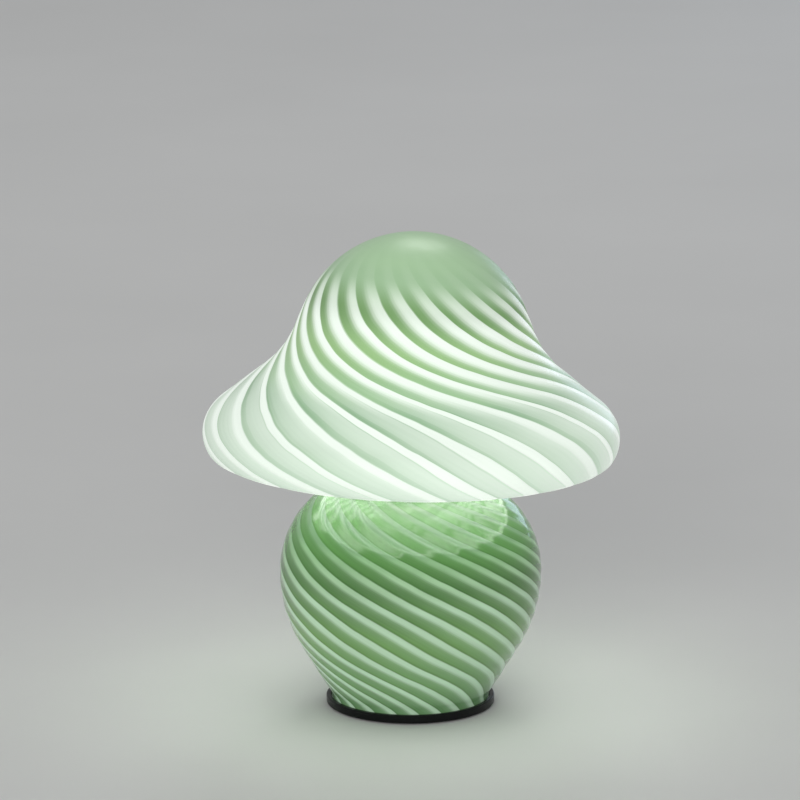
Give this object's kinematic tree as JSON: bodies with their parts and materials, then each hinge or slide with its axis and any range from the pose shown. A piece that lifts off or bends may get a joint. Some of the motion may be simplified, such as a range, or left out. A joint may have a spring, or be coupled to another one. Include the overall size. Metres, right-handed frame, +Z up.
{
  "type": "night light",
  "caption": "Small table night light: a bell-shaped swirl-striped glass shade lifts off a carrier over a screw-in bulb, above a round glass base in a thin foot.",
  "frame": {"origin": "centre of the resting face under the foot, on the table", "axes": "+Z up along the lamp's axis, +Y to the rear where the cord inlet is, +X to the right seen from the front"},
  "size_m": [0.19, 0.19, 0.2199],
  "materials": {
    "base_glass": "glossy cased green glass with white swirl stripes",
    "shade_glass": "satin cased green and opal glass with swirl ribs",
    "black_metal": "satin black",
    "white_metal": "satin white",
    "zinc_steel": "zinc plated",
    "brass": "plain",
    "nickel": "nickel plated",
    "solder": "tinned",
    "felt": "felt",
    "soft_rubber": "translucent silicone",
    "black_rubber": "matte",
    "clear_nylon": "natural nylon",
    "holder_plastic": "white thermoplastic",
    "holder_ceramic": "unglazed steatite",
    "white_plastic": "satin white",
    "opal_plastic": "opal diffuser",
    "black_plastic": "black insulator",
    "brown_insulation": "brown lead",
    "blue_insulation": "blue lead",
    "board": "white solder mask on aluminium",
    "driver_board": "green circuit board",
    "led_phosphor": "yellow phosphor"
  },
  "bodies": {
    "lamp": {"foot_pad": "felt", "foot_plate": "black_metal", "base_gasket": "soft_rubber", "glass_base": "base_glass", "cord_grommet": "black_rubber", "stem_tube": "zinc_steel", "stem_nut": "zinc_steel", "stem_lock_washer": "zinc_steel", "terminal_block": "clear_nylon", "terminal_screws": "brass", "block_screw": "zinc_steel", "live_lead": "brown_insulation", "neutral_lead": "blue_insulation", "neck_gasket": "soft_rubber", "neck_cap": "white_metal", "lampholder_shell": "holder_plastic", "lampholder_insert": "holder_ceramic", "lampholder_screw_shell": "brass", "lampholder_contact": "brass", "lampholder_ring_nut": "holder_plastic", "carrier_star": "white_metal", "carrier_posts": "white_metal", "carrier_nuts": "zinc_steel", "carrier_plate": "white_metal"},
    "shade_pad": {"shade_pad": "soft_rubber"},
    "shade": {"glass_shade": "shade_glass"},
    "bulb_tip": {"bulb_tip": "solder", "bulb_insulator": "black_plastic"},
    "bulb": {"bulb_cap": "nickel", "bulb_housing": "white_plastic", "bulb_globe": "opal_plastic", "bulb_led_board": "board", "bulb_leds": "led_phosphor", "bulb_driver": "driver_board"}
  },
  "joints": [
    {"name": "shade_turn", "type": "hinge", "parent": "lamp", "child": "shade_pad", "pos_m": [0, 0, 0.196], "axis": [0, 0, 1], "continuous": true},
    {"name": "shade_lift", "type": "slide", "parent": "shade_pad", "child": "shade", "axis": [0, 0, 1], "range_m": [0, 0.09]},
    {"name": "bulb_lift", "type": "slide", "parent": "lamp", "child": "bulb_tip", "axis": [0, 0, 1], "range_m": [0, 0.0113]},
    {"name": "bulb_turn", "type": "hinge", "parent": "bulb_tip", "child": "bulb", "pos_m": [0, 0, 0.11], "axis": [0, 0, 1], "range_deg": [0, 1440]}
  ],
  "couplings": [
    {"joint": "bulb_lift", "follows": "bulb_turn", "m_per_rad": 0.00044882}
  ]
}
